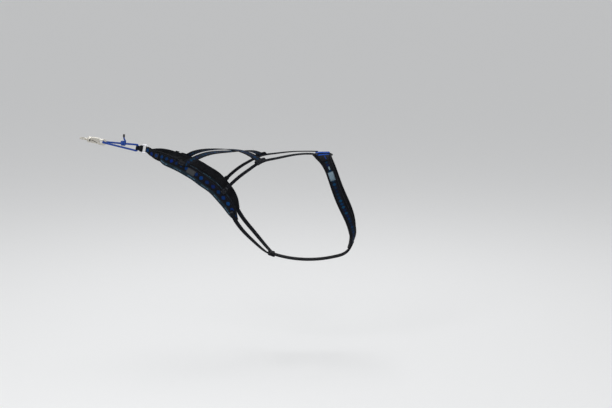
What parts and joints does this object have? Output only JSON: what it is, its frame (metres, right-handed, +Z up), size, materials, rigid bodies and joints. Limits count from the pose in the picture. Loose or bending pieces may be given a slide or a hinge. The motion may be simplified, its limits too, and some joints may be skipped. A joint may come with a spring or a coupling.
{
  "type": "sled dog harness",
  "caption": "Cross-backed pulling harness for a sled dog: padded collar, side bands, crossing back straps, cord tug loop and a swivel bolt snap.",
  "frame": {"origin": "middle of the neck opening, on the middle plane", "axes": "+X forward, to the wearer's head; +Y to the wearer's left; +Z up"},
  "size_m": [0.7583, 0.2142, 0.3478],
  "materials": {
    "padding_black": "mesh",
    "webbing_blue": "woven",
    "webbing_black": "woven",
    "reflective_tape": "satin",
    "label_grey": "matte",
    "cord_blue": "braided",
    "cord_tip_black": "matte",
    "snap_metal": "satin",
    "ring_metal": "satin"
  },
  "bodies": {
    "harness": {"side_band_right": "padding_black", "side_edge_strap_right": "reflective_tape", "side_label_right": "label_grey", "back_strap_right": "webbing_blue", "back_strap_tab_right": "webbing_black", "back_strap_keeper_right": "webbing_black", "flank_strap_right": "webbing_black", "flank_strap_keeper_right": "webbing_black", "belly_strap_right": "webbing_black", "collar_pad_right": "padding_black", "collar_webbing_right": "webbing_blue", "collar_reflector_right": "reflective_tape", "side_band_left": "padding_black", "side_edge_strap_left": "reflective_tape", "side_label_left": "label_grey", "back_strap_left": "webbing_blue", "back_strap_tab_left": "webbing_black", "back_strap_keeper_left": "webbing_black", "flank_strap_left": "webbing_black", "flank_strap_keeper_left": "webbing_black", "belly_strap_left": "webbing_black", "collar_pad_left": "padding_black", "collar_webbing_left": "webbing_blue", "collar_reflector_left": "reflective_tape", "breast_strap": "padding_black", "belly_strap_keeper": "webbing_black", "rear_loop_webbing": "webbing_black", "joining_ring": "ring_metal", "tug_tab": "webbing_black"},
    "tug_loop": {"tug_loop_cord": "cord_blue", "tug_loop_knot": "cord_blue", "tug_loop_tail_tip": "cord_tip_black"},
    "snap": {"snap_body": "snap_metal"},
    "bolt": {"snap_bolt": "snap_metal"},
    "swivel": {"swivel_eye": "snap_metal"}
  },
  "joints": [
    {"name": "tug_loop_swing", "type": "hinge", "parent": "harness", "child": "tug_loop", "pos_m": [-0.5445, 0, 0.1396], "axis": [0.1736, 0, 0.9848], "range_deg": [-60, 60]},
    {"name": "snap_tilt", "type": "hinge", "parent": "tug_loop", "child": "snap", "pos_m": [-0.63828, 0, 0.15543], "axis": [0, 1, 0], "range_deg": [-60, 60]},
    {"name": "bolt_slide", "type": "slide", "parent": "snap", "child": "bolt", "axis": [-0.9848, 0, 0.1736], "range_m": [0, 0.009], "stiffness_N_per_m": 400, "springref_m": -0.004},
    {"name": "eye_swivel", "type": "hinge", "parent": "snap", "child": "swivel", "pos_m": [-0.68562, 0, 0.16448], "axis": [0.9848, 0, -0.1736], "continuous": true}
  ]
}
